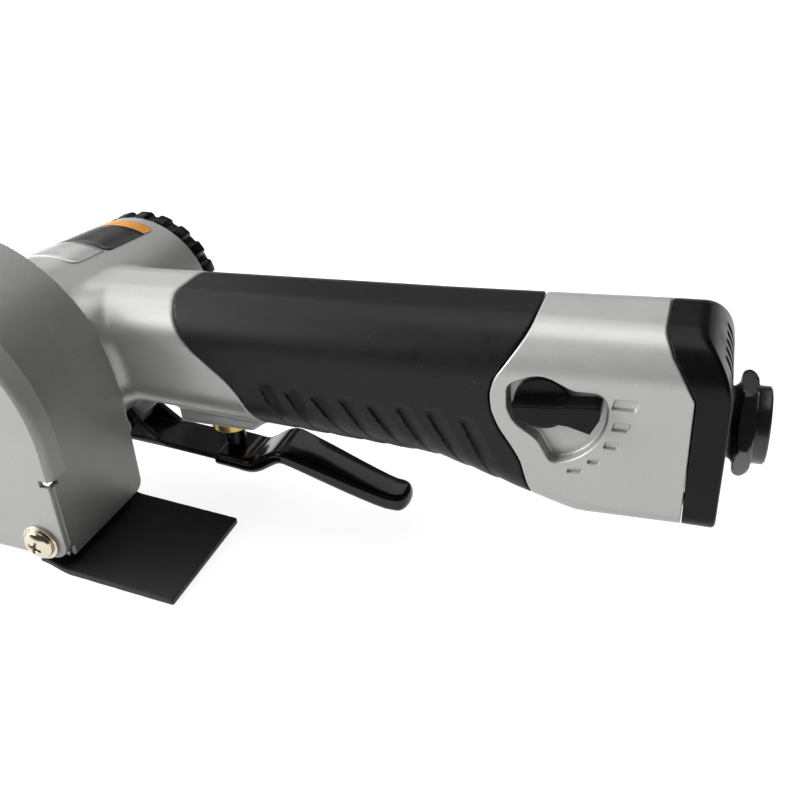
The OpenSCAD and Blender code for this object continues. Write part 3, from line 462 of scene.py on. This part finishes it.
def casting_front(a, y, b):
    around = np.hypot(a - BARREL_A, b - BARREL_B)
    barrel = cut(around - barrel_radius(y + END[1]), np.abs(y - 11.55) - 28.75, 0.8)
    barrel = cut(barrel, -np.maximum(np.hypot(a - PIVOT_A, b - PIVOT_B) - 5.4, np.abs(y) - 8.4), 0.3)
    root = cut(section(a, y, b), -157.5 - a, 6.5)
    root = cut(root, after_front(a, b) + 0.15, 0.35)
    body = join(barrel, root, 5.0)
    boss = polygon(a, b, [(-133, 4.5), (-111, 4.5), (-105.8, 8.3), (-105.8, 16), (-133, 16)])
    boss = cut(boss, np.abs(y) - 11, 1.1)
    body = join(body, boss, 1.0)
    lug = np.minimum(np.hypot(a - PIVOT_A, b - PIVOT_B) - 3.5,
                     np.maximum(np.abs(a - PIVOT_A) - 3.5, between(b, PIVOT_B, 16)))
    web = polygon(a, b, [(-160.5, -2), (-153.5, -2), (-144.5, 5.5), (-131, 6.5), (-131, 16), (-160.5, 16)])
    body = join(body, cut(np.minimum(lug, web), np.abs(y) - 4, 0.4), 1.5)
    body = np.minimum(body, np.maximum(core(a, y, b), between(a, -140, -50)))
    motor = np.maximum(around - 19, between(y, -13.2, 42))
    motor = np.minimum(motor, np.maximum(around - 7, between(y, -19, -12)))
    body = np.maximum(body, -motor)
    from_valve = np.hypot(a - VALVE_A, y)
    valve = np.minimum(np.maximum(from_valve - 4.6, between(b, 3, 30)),
                       np.maximum(from_valve - 5.02, between(b, 3, 16.5)))
    body = np.maximum(body, -valve)
    body = np.maximum(body, -np.maximum(np.hypot(a - PIVOT_A, b - PIVOT_B) - 2.02, np.abs(y) - 5))
    air = np.minimum(np.maximum(np.hypot(y, b - TUNNEL_B) - 3.8, VALVE_A - a),
                     np.maximum(np.hypot(y, b - EXHAUST_B) - 3.6, PIVOT_A - 1 - a))
    return np.maximum(body, -air)


def pocket_outline(u, v):
    seat = np.hypot(u + 0.3, v) - 7.35
    sweep = np.hypot(u, v + 0.4) - 14.5
    left = -(0.883 * (u - 2.1) + 0.470 * (v + 14.0))
    top = v - 4.65
    sweep = cut(cut(sweep, left, 1.6), top, 2.0)
    return join(seat, sweep, 2.2)


MARKS = [(18.1, 2.75, 5.0, 2.5, 0), (17.55, -2.85, 3.5, 2.0, 0), (15.75, -7.95, 3.0, 1.6, 0),
         (12.1, -12.8, 2.5, 1.1, 4), (8.0, -15.95, 3.3, 1.0, 8)]


def casting_rear(a, y, b):
    body = cut(section(a, y, b), before_rear(a, b) + 0.15, 0.35)
    body = cut(body, (a - cap_line(b)) / cap_slope(b) + 0.12, 0.3)
    u, v = a - REGULATOR_A, b - REGULATOR_B
    pocket = cut(pocket_outline(u, v), y + 14.0, 0.5)
    body = cut(body, -pocket, 0.45)
    for mu, mv, w, h, turn in MARKS:
        t = math.radians(turn)
        du = (u - mu) * math.cos(t) + (v - mv) * math.sin(t)
        dv = -(u - mu) * math.sin(t) + (v - mv) * math.cos(t)
        du = du - 0.25 * dv
        mark = cut(cut(np.abs(du) - w / 2, np.abs(dv) - h / 2, 0.3), y + 16.3, 0.25)
        body = cut(body, -mark, 0.25)
    body = np.minimum(body, np.maximum(core(a, y, b), between(a, -50, -28)))
    drum = np.maximum(np.hypot(u, v) - 6.05, y - 11)
    body = np.maximum(body, -drum)
    seat = np.maximum(np.hypot(y, b - INLET_B) - 9.02, -12.5 - a)
    seat = np.minimum(seat,
                      np.maximum(np.maximum(between(a, -20, -12.4), np.abs(y) - 4), between(b, 14.2, 29.6)))
    seat = np.minimum(seat, np.maximum(np.hypot(y, b - TUNNEL_B) - 3.8, a + 14))
    seat = np.minimum(seat, np.maximum(np.hypot(y, b - EXHAUST_B) - 3.6, a + 13))
    seat = np.minimum(seat,
                      np.maximum(np.maximum(between(a, -14, 1), np.abs(y) - 10), between(b, 31.2, 39.5)))
    seat = np.minimum(seat, np.maximum(np.hypot(np.abs(y) - CAP_SCREW_Y, b - CAP_SCREW_B) - 1.5, -12 - a))
    return np.maximum(body, -seat)


GROOVES = [((-103.3, 23.2), (-99.2, 13.7)), ((-96.5, 22.6), (-91.5, 13.5)), ((-89.5, 22.1), (-83.3, 13.4)),
           ((-81.7, 22.2), (-75.8, 12.4)), ((-74.5, 21.5), (-68.1, 11.5)), ((-67.0, 22.0), (-60.6, 10.1)),
           ((-59.6, 21.9), (-52.8, 9.0)), ((-51.4, 21.1), (-45.0, 6.8))]


def rubber_grip(a, y, b):
    outer = section(a, y, b)
    body = cut(cut(outer, 0.15 - after_front(a, b), 0.5), 0.15 - before_rear(a, b), 0.5)
    for (a0, b0), (a1, b1) in GROOVES:
        length = math.hypot(a1 - a0, b1 - b0)
        ux, uz = (a1 - a0) / length, (b1 - b0) / length
        along = (a - a0) * ux + (b - b0) * uz
        right = (b - b0) * ux - (a - a0) * uz
        depth = 0.75 * np.clip(1.2 - right / 3.2, 0, 1) * np.clip(right / 0.5, 0, 1)
        depth = depth * np.clip(along / 1.5, 0, 1) * np.clip((length - along) / 6 + 0.35, 0.35, 1)
        depth = depth * np.clip((np.abs(y) - 4) / 3, 0, 1)
        body = np.maximum(body, outer + depth)
    return np.maximum(body, -core(a, y, b, 0.02))


def rear_cap(a, y, b):
    rear = np.where(b > 30, np.hypot(a + 9.7, b - 30) - 17, a - 7.3)
    body = cut(section(np.minimum(a, 0), y, b), rear, 0.9)
    body = cut(body, 0.12 - (a - cap_line(b)) / cap_slope(b), 0.3)
    body = np.maximum(body, -(np.hypot(y, b - INLET_B) - 9.02))
    for s in (-1, 1):
        hole = np.hypot(y - CAP_SCREW_Y * s, b - CAP_SCREW_B)
        body = np.maximum(body, -np.minimum(hole - 1.8, cut(hole - 3.2, 4.7 - a)))
    for at in (-8, -4, 0, 4, 8):
        slot = cut(np.abs(y - at) - 1, between(b, 33, 38.5), 0.8)
        body = cut(body, -slot, 0.3)
    return body


# Trigger lever

LEVER_LINE = [(-158, -6.8), (-144, -7.9), (-121.5, -10.4), (-117.4, -11.2), (-114.6, -10.6), (-109, -6.9),
              (-106.6, -6.2), (-104.2, -6.8), (-78.5, -17.6), (-73.5, -18)]


def rounded_line(points, rounds=2):
    for _ in range(rounds):
        out = [points[0]]
        for (ax, ay), (bx, by) in zip(points, points[1:]):
            out.append((0.75 * ax + 0.25 * bx, 0.75 * ay + 0.25 * by))
            out.append((0.25 * ax + 0.75 * bx, 0.25 * ay + 0.75 * by))
        out.append(points[-1])
        points = out
    return points


LEVER_CURVE = rounded_line(LEVER_LINE)


def lever_plan(a, y, grow=0.0):
    half = 6.2 + np.clip((a + 106) / 31, 0, 1) * (3.9 - 6.2) + grow
    return np.where(a > -75, np.hypot(a + 75, y) - 3.9 - grow, np.abs(y) - half)


def lever_sleeve(a, y, b):
    sheet = polyline(a, b, LEVER_CURVE)
    crown = 2.0 + 0.8 * np.clip((a + 104) / 8, 0, 1) * (1 - np.clip(y / 7, -1, 1) ** 2)
    plan = np.maximum(lever_plan(a, y, 1.1), -127.5 - a)
    return cut(sheet - crown, plan, 1.5)


def lever_web(a, y, b):
    sheet = polyline(a, b, LEVER_CURVE) - 0.9
    plan = np.maximum(np.abs(y) - 6.2, between(a, -158, -126))
    body = cut(sheet, plan, 0.35)
    ear = polygon(a, b,
                  [(-161.6, -2), (-157, -1.0), (-152.6, -0.6), (-144, -7.8), (-158, -6.8), (-160, -5.2)])
    ear = np.minimum(ear, np.hypot(a - PIVOT_A, b - PIVOT_B) - 4.6)
    ear = cut(ear, np.abs(np.abs(y) - 5.3) - 0.9, 0.35)
    body = join(body, ear, 0.8)
    return np.maximum(body, -(np.hypot(a - PIVOT_A, b - PIVOT_B) - 2.05))


KNOB = [(-6.3, 1.0), (-5.9, -3.0), (-3.4, -3.2), (-1.5, -3.9), (1.3, -3.6), (3.6, -2.7), (6.4, -2.9),
        (11.2, -4.3), (13.1, -0.6), (13.2, 2.6), (12.2, 3.0), (5.8, 2.4), (3.4, 1.9), (-0.4, 1.6),
        (-4.2, 1.25)]


def regulator_knob(a, y, b):
    u, v = a - REGULATOR_A, b - REGULATOR_B
    bar = cut(polygon(u, v, KNOB), between(y, -19.5, -14.3), 0.55)
    disc = cut(np.hypot(u + 0.1, v) - 6.4, between(y, -15.7, -14.2), 0.3)
    return np.minimum(bar, disc)


silver = MATS["cast_silver"]
finish_piece(handle_piece("casting_front_half", casting_front, (-201, -18.6, -8), (-49, 41.8, 49.4), 0.62),
             silver, "housing", "cast_silver", "handle_casting")
finish_piece(handle_piece("casting_rear_half", casting_rear, (-51.5, -18, -6), (1.2, 18, 45.5), 0.34),
             silver, "housing", "cast_silver", "handle_casting")
finish_piece(handle_piece("grip_skin", rubber_grip, (-132, -18.4, -6), (-27, 18.4, 45.5), 0.55),
             MATS["grip_rubber"], "housing", "grip_rubber", "rubber_grip")
finish_piece(handle_piece("end_cap", rear_cap, (-9.5, -18, -4), (9, 18, 45.4), 0.36),
             MATS["black_plastic"], "housing", "black_plastic", "rear_cap")
finish_piece(handle_piece("lever_dip", lever_sleeve, (-133, -8.6, -23), (-68, 8.6, -2), 0.36),
             MATS["gloss_black"], "lever", "gloss_black", "lever_sleeve")
finish_piece(handle_piece("lever_plate", lever_web, (-163.5, -7.4, -12.5), (-125, 7.4, 4), 0.3),
             MATS["black_steel"], "lever", "black_steel", "throttle_lever")
finish_piece(handle_piece("flow_knob", regulator_knob, (-39.6, -20.4, 19), (-18, -13.4, 34), 0.25),
             MATS["black_plastic"], "regulator", "black_plastic", "regulator_knob")


# Guard

POSTS = [(84.8, 12.0), (2.0, 50.6), (14.0, 29.0)]


def guard_edge(x, z):
    """Distance outside the guard's side outline."""
    nx, nz = math.cos(math.radians(ROOF_ANGLE)), math.sin(math.radians(ROOF_ANGLE))
    dx, dz = x - ARCH_X, z - ARCH_Z
    roof = dx * nx + dz * nz - ARCH_R
    angle = np.degrees(np.arctan2(dz, dx))
    upper = np.where((angle > ROOF_ANGLE) | (angle < -90), roof, np.hypot(dx, dz) - ARCH_R)
    return np.where(dz < 0, np.maximum(x - GUARD_REAR, roof), upper)


def guard_shell(x, y, z):
    d = guard_edge(x, z)
    body = cut(np.abs(d + 0.7) - 0.7, between(y, NEAR_Y + 1.42, FAR_Y), 0.3)
    body = cut(body, np.maximum(GUARD_FRONT - x, GUARD_LOW - z), 0.3)
    corner = cut(y - FAR_Y, GUARD_LOW - z, 3.0)
    body = np.maximum(body, corner)
    body = np.maximum(body, np.minimum(cut(d, GUARD_LOW - z, 5.0), -13 - y))
    return np.maximum(body, -np.maximum(np.maximum(between(x, 90, 93.5), between(z, 30.2, 32)), y + 12.5))


def guard_cover(x, y, z):
    d = guard_edge(x, z)
    low = 32.0
    bottom = cut(cut(d, GUARD_LOW - z, 5.0), GUARD_FRONT - x, 0.6)
    flat = cut(bottom, between(y, NEAR_Y, NEAR_Y + 1.4), 0.35)
    outer = cut(d - 1.19, NEAR_Y - y, 2.0)
    inner = cut(d - 0.25, NEAR_Y + 1.4 - y, 0.8)
    rim = cut(cut(outer, -inner, 0.0), y + 9.8, 0.3)
    rim = cut(cut(rim, low - z, 0.4), GUARD_FRONT - x, 0.4)
    body = np.minimum(flat, rim)
    notch = np.maximum(between(x, 89.4, 92), between(z, 30.2, low + 0.05))
    body = cut(body, -notch, 0.15)
    for px, pz in POSTS:
        body = np.maximum(body, -(np.hypot(x - px, z - pz) - 2.2))
    return body


finish_piece(world_piece("guard_wrap", guard_shell, (-13.5, -15.6, 5.5), (93.5, 18.8, 82), 0.55),
             MATS["guard_grey"], "housing", "guard_grey", "guard_shell")
finish_piece(world_piece("guard_lid", guard_cover, (-13.5, -17.0, 5.5), (94.8, -8.6, 83.4), 0.42),
             MATS["cover_grey"], "housing", "cover_grey", "guard_cover")


def flap(x, y, z):
    s = np.clip((x - 83) / 9, 0, 1)
    top = 6.98 - 2.6 * s * s * (3 - 2 * s) - np.maximum(x - 92, 0) * 0.045
    sheet = np.abs(z - top + 0.9) - 0.9
    plan = cut(between(x, 83, 122), between(y, -16.4, FAR_Y), 0.5)
    tongue = np.maximum(between(x, 74, 84), between(y, -10.8, 12.4))
    return cut(sheet, np.minimum(plan, tongue), 0.3)


finish_piece(world_piece("flap_sheet", flap, (73, -17.4, -0.5), (123, 18.4, 8.2), 0.36),
             MATS["flap_rubber"], "housing", "flap_rubber", "dust_flap")


# Screws of the guard cover: washer, pan head and a tapered cross recess

def screw(x, y, z):
    r = np.hypot(x, z)
    washer = cut(r - 5.1, between(y, -0.9, -0.02), 0.25)
    dome = np.maximum(np.sqrt(r ** 2 + (y - 3.76) ** 2) - 7.0, y + 0.9)
    head = cut(dome, r - 4.2, 0.5)
    depth = np.clip((y + 3.3) / 1.9, -1, 1)
    width = 0.42 - 0.10 * depth
    length = 2.3 - 1.3 * depth
    cross = np.minimum(np.maximum(np.abs(x) - width, np.abs(z) - length),
                       np.maximum(np.abs(z) - width, np.abs(x) - length))
    cross = np.minimum(cross, r - (0.95 - 0.3 * depth))
    cross = cut(cross, y + 1.6, 0.1)
    return np.minimum(washer, cut(head, -cross, 0.12))


def far_screw(x, y, z):
    """Socket head on the guard's far side."""
    r = np.hypot(x, z)
    around = np.arctan2(z, x) % (math.pi / 3) - math.pi / 6
    head = cut(r - 3.4, between(y, 0.02, 2.2), 0.35)
    return cut(head, -np.maximum(r * np.cos(around) - 1.55, 0.9 - y), 0.12)


def screw_set(name, f, low, high, face, turns):
    points, faces, normals = surface(f, low, high, 0.13)
    for i, ((px, pz), turn) in enumerate(zip(POSTS, turns)):
        t = math.radians(turn)
        spin = np.array([[math.cos(t), 0, math.sin(t)], [0, 1, 0], [-math.sin(t), 0, math.cos(t)]])
        obj = new_object("%s_%d" % (name, i + 1), points @ spin.T + np.array([px, face, pz]), faces,
                         normals @ spin.T)
        finish_piece(obj, MATS["nickel"], "housing", "nickel", "cover_screws")


screw_set("lid_screw", screw, (-5.6, -3.8, -5.6), (5.6, 0.4, 5.6), NEAR_Y, (22, 55, 5))
screw_set("far_screw", far_screw, (-3.8, -0.4, -3.8), (3.8, 2.6, 3.8), FAR_Y, (10, 40, 65))


# Turned parts

def lathe(name, profile, segments, place, swell=None):
    """Turns a closed profile of (radius, height) points; swell(angle, r, h) may change the radius."""
    points, faces = [], []
    n = len(profile)
    for i in range(segments):
        t = 2 * math.pi * i / segments
        for r, h in profile:
            r = swell(t, r, h) if swell else r
            points.append(place(r, t, h))
    for i in range(segments):
        j = (i + 1) % segments
        for k in range(n):
            l = (k + 1) % n
            faces.append((i * n + k, j * n + k, j * n + l, i * n + l))
    return new_object(name, points, faces)


def shade_by_angle(obj, degrees=32):
    bm = bmesh.new()
    bm.from_mesh(obj.data)
    bmesh.ops.recalc_face_normals(bm, faces=bm.faces)
    for edge in bm.edges:
        edge.smooth = len(edge.link_faces) != 2 or edge.calc_face_angle(0) < math.radians(degrees)
    bm.to_mesh(obj.data)
    bm.free()


def along_handle(r, t, h):
    p = np.array([[h, r * math.sin(t), INLET_B + r * math.cos(t)]])
    return from_handle(p)[0]


def hex_radius(t):
    return 10.5 / math.cos((t + math.pi / 6) % (math.pi / 3) - math.pi / 6)


def hex_swell(t, r, h):
    if r < 9.5:
        return r
    return min(hex_radius(t), r)


HEX = [(5.6, 4.2), (5.6, 15.3), (6.3, 16.0), (8.5, 16.0), (8.9, 15.6), (8.9, 13.6), (9.1, 13.1), (9.6, 12.95),
       (10.6, 12.9), (11.3, 12.45), (11.8, 11.9), (12.12, 11.3), (12.12, 10.6), (11.8, 9.9), (11.2, 9.5),
       (10.5, 9.4), (9.6, 9.38), (9.2, 9.2), (8.6, 8.7), (8.3, 8.1), (8.3, 7.6), (8.9, 7.3), (9.0, 7.0),
       (9.0, -12.4), (6.4, -12.4), (6.4, -8.0), (4.5, -8.0), (4.5, 4.2)]
inlet = lathe("inlet_fitting", HEX, 144, along_handle, hex_swell)
shade_by_angle(inlet, 28)
finish_piece(inlet, MATS["inlet_black"], "housing", "black_steel", "inlet_bushing")


def along_valve(r, t, h):
    p = np.array([[VALVE_A + r * math.sin(t), r * math.cos(t), h]])
    return from_handle(p)[0]


BUSHING = [(2.85, -0.9), (5.8, -0.9), (6.1, -0.6), (6.1, 4.46), (5.0, 4.46), (5.0, 16.4), (3.4, 16.4),
           (3.4, 4.2), (2.85, 4.2)]
bushing = lathe("brass_bushing", BUSHING, 96, along_valve)
shade_by_angle(bushing)
finish_piece(bushing, MATS["brass"], "housing", "brass", "valve_bushing")


def along_barrel(r, t, h):
    return (DRIVE[0] + r * math.sin(t), h, DRIVE[1] + r * math.cos(t))


def ring_swell(t, r, h):
    if r < 21.3:
        return r
    wave = 0.5 + 0.5 * math.cos(20 * t)
    lobe = min(1.0, max(0.0, (wave - 0.12) / 0.5))
    lobe = lobe * lobe * (3 - 2 * lobe)
    return r - 1.15 * (1 - lobe)


y0 = RING_Y
RING = [(8.5, y0 + 2.5), (8.5, y0 - 1.9), (18.8, y0 - 1.9), (18.8, y0 + 0.03), (20.8, y0 + 0.03),
        (21.7, y0 + 0.15), (22.3, y0 + 0.5), (22.7, y0 + 1.1), (22.85, y0 + 1.8), (22.85, y0 + 4.6),
        (22.6, y0 + 5.5), (22.1, y0 + 6.2), (21.4, y0 + 6.7), (20.6, y0 + 6.95), (19.8, y0 + 7.0),
        (18.3, y0 + 7.0), (18.0, y0 + 6.8), (17.9, y0 + 5.4), (7.2, y0 + 5.4), (7.0, y0 + 5.6),
        (6.8, y0 + 6.8), (6.4, y0 + 7.0), (0.01, y0 + 7.0), (0.01, y0 + 2.5)]
ring = lathe("end_nut", RING, 480, along_barrel, ring_swell)
shade_by_angle(ring, 35)
finish_piece(ring, MATS["black_plastic"], "housing", "black_plastic", "end_ring")


# Labels on the barrel, left bare

def label(name, x0, x1, y0, y1, corners, thickness=0.22):
    """A thin sheet bent round the barrel between two x's.

    corners are the radii at (x1, y0), (x1, y1), (x0, y0) and (x0, y1)."""
    r = barrel_radius((y0 + y1) / 2)
    t0, t1 = math.asin((x0 - DRIVE[0]) / r), math.asin((x1 - DRIVE[0]) / r)
    length = (t1 - t0) * r
    stations = sorted(set([round(length * i / 64, 4) for i in range(65)]
                          + [round(0.06 * i * i, 4) for i in range(1, 9)]
                          + [round(length - 0.06 * i * i, 4) for i in range(1, 9)]))
    points, rows = [], 9

    def inset(d, radius):
        return radius - math.sqrt(max(radius ** 2 - max(radius - d, 0) ** 2, 0))

    for s in stations:
        low = y0 + inset(s, corners[2]) + inset(length - s, corners[0])
        high = y1 - inset(s, corners[3]) - inset(length - s, corners[1])
        dx = r * math.sin(t0 + s / r)
        for k in range(rows):
            y = low + (high - low) * k / (rows - 1)
            points.append((DRIVE[0] + dx, y, DRIVE[1] + math.sqrt((barrel_radius(y) + 0.23) ** 2 - dx ** 2)))
    faces = [(i * rows + k, (i + 1) * rows + k, (i + 1) * rows + k + 1, i * rows + k + 1)
             for i in range(len(stations) - 1) for k in range(rows - 1)]
    obj = new_object(name, points, faces)
    solid = obj.modifiers.new("thickness", "SOLIDIFY")
    solid.thickness = thickness * 0.001
    solid.offset = -1
    return obj


finish_piece(label("pale_plate", 44, 72.3, 32.5, 46.0, (2.6, 0.3, 0.3, 0.3)), MATS["plate_silver"], "housing",
             "plate_silver", "rating_plate")
finish_piece(label("dark_plate", 44, 73.0, 46.4, 64.7, (2.2, 0.05, 0.3, 0.05)), MATS["plate_black"],
             "housing", "plate_black", "info_plate")
finish_piece(label("orange_strip", 44, 73.0, 64.72, 69.8, (0.05, 2.4, 0.05, 0.3)), MATS["orange_film"],
             "housing", "orange_film", "info_band")


# Stage, camera and light

def stage_material():
    m = bpy.data.materials.new("stage_pale")
    m.use_nodes = True
    nodes, links = m.node_tree.nodes, m.node_tree.links
    shader = nodes["Principled BSDF"]
    shader.inputs["Base Color"].default_value = (0.45, 0.45, 0.45, 1)
    shader.inputs["Roughness"].default_value = 0.9
    shader.inputs["Specular IOR Level"].default_value = 0.1
    shader.inputs["Emission Color"].default_value = (1, 1, 1, 1)
    path = nodes.new("ShaderNodeLightPath")
    add1 = nodes.new("ShaderNodeMath")
    add1.operation = "ADD"
    add1.use_clamp = True
    links.new(path.outputs["Is Camera Ray"], add1.inputs[0])
    links.new(path.outputs["Is Glossy Ray"], add1.inputs[1])
    add2 = nodes.new("ShaderNodeMath")
    add2.operation = "ADD"
    add2.use_clamp = True
    links.new(add1.outputs[0], add2.inputs[0])
    links.new(path.outputs["Is Transmission Ray"], add2.inputs[1])
    gain = nodes.new("ShaderNodeMath")
    gain.operation = "MULTIPLY"
    gain.inputs[1].default_value = 0.88
    links.new(add2.outputs[0], gain.inputs[0])
    links.new(gain.outputs[0], shader.inputs["Emission Strength"])
    return m


floor_points = [(-6000, -6000, -0.02), (6000, -6000, -0.02), (6000, 6000, -0.02), (-6000, 6000, -0.02)]
floor = new_object("floor", floor_points, [(0, 1, 2, 3)])
floor.data.materials.append(stage_material())

camera_data = bpy.data.cameras.new("photo_camera")
camera = bpy.data.objects.new("photo_camera", camera_data)
bpy.context.scene.collection.objects.link(camera)
camera_data.sensor_width = 36
camera_data.lens = 38.7
camera_data.clip_start = 0.01
eye, aim = Vector((0.2291, -0.14414, 0.1572)), Vector((0.157347, 0.055962, 0.025631))
camera.location = eye
camera.rotation_mode = "QUATERNION"
lean = Quaternion((0, 0, 1), math.radians(-1.2058))
camera.rotation_quaternion = (aim - eye).to_track_quat("-Z", "Y") @ lean
bpy.context.scene.camera = camera


def area(name, at, target, size, power):
    data = bpy.data.lights.new(name, "AREA")
    data.energy = power
    data.size = size
    lamp = bpy.data.objects.new(name, data)
    bpy.context.scene.collection.objects.link(lamp)
    lamp.location = at
    lamp.rotation_mode = "QUATERNION"
    lamp.rotation_quaternion = (Vector(target) - Vector(at)).to_track_quat("-Z", "Y")
    return lamp


for name, at, power in (
        ("key_left", (-0.95, -0.35, 0.40), 12.6),
        ("side_left", (-1.0, 0.0, 0.45), 7.9),
        ("front_left", (-0.6, -0.6, 0.7), 2.7),
        ("top_left", (-0.6, 0.0, 0.9), 2.4),
        ("back_left", (-0.6, 0.6, 0.7), 1.6),
        ("top_back", (0.1, 0.2, 1.0), 2.5),
        ("back", (0.1, 0.7, 0.8), 1.0)):
    area(name, at, (0.13, 0.02, 0.04), 0.6, power)

world = bpy.data.worlds.new("studio")
bpy.context.scene.world = world
world.use_nodes = True
nodes, links = world.node_tree.nodes, world.node_tree.links
background = nodes["Background"]
background.inputs["Color"].default_value = (1, 1, 1, 1)
path = nodes.new("ShaderNodeLightPath")
seen = nodes.new("ShaderNodeMath")
seen.operation = "MAXIMUM"
links.new(path.outputs["Is Camera Ray"], seen.inputs[0])
links.new(path.outputs["Is Transmission Ray"], seen.inputs[1])
level = nodes.new("ShaderNodeMapRange")
level.inputs["To Min"].default_value = 0.07
level.inputs["To Max"].default_value = 1.0
links.new(seen.outputs[0], level.inputs["Value"])
links.new(level.outputs["Result"], background.inputs["Strength"])

bpy.context.scene.view_settings.view_transform = "Standard"
